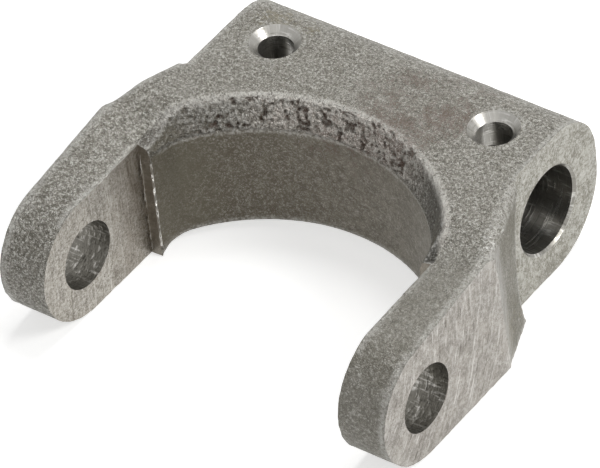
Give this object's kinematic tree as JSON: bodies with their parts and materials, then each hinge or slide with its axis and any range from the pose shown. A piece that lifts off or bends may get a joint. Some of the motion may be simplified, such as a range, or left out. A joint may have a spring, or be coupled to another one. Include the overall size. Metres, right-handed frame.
{
  "type": "forged yoke",
  "caption": "Forged steel yoke: a hub with a cross bore and set-screw holes, and fork arms with a pin hole each beside a round throat.",
  "frame": {"origin": "on the axis of the cross bore, half way between the milled hub ends", "axes": "+X along the cross bore, -Y towards the arm tips, +Z out of the face with the set-screw holes"},
  "size_m": [0.126, 0.1169, 0.0451],
  "materials": {
    "forged_steel": "shot-blasted forged skin with milled faces, bare steel, light rust tint"
  },
  "bodies": {
    "root": {"yoke": "forged_steel"}
  },
  "joints": []
}
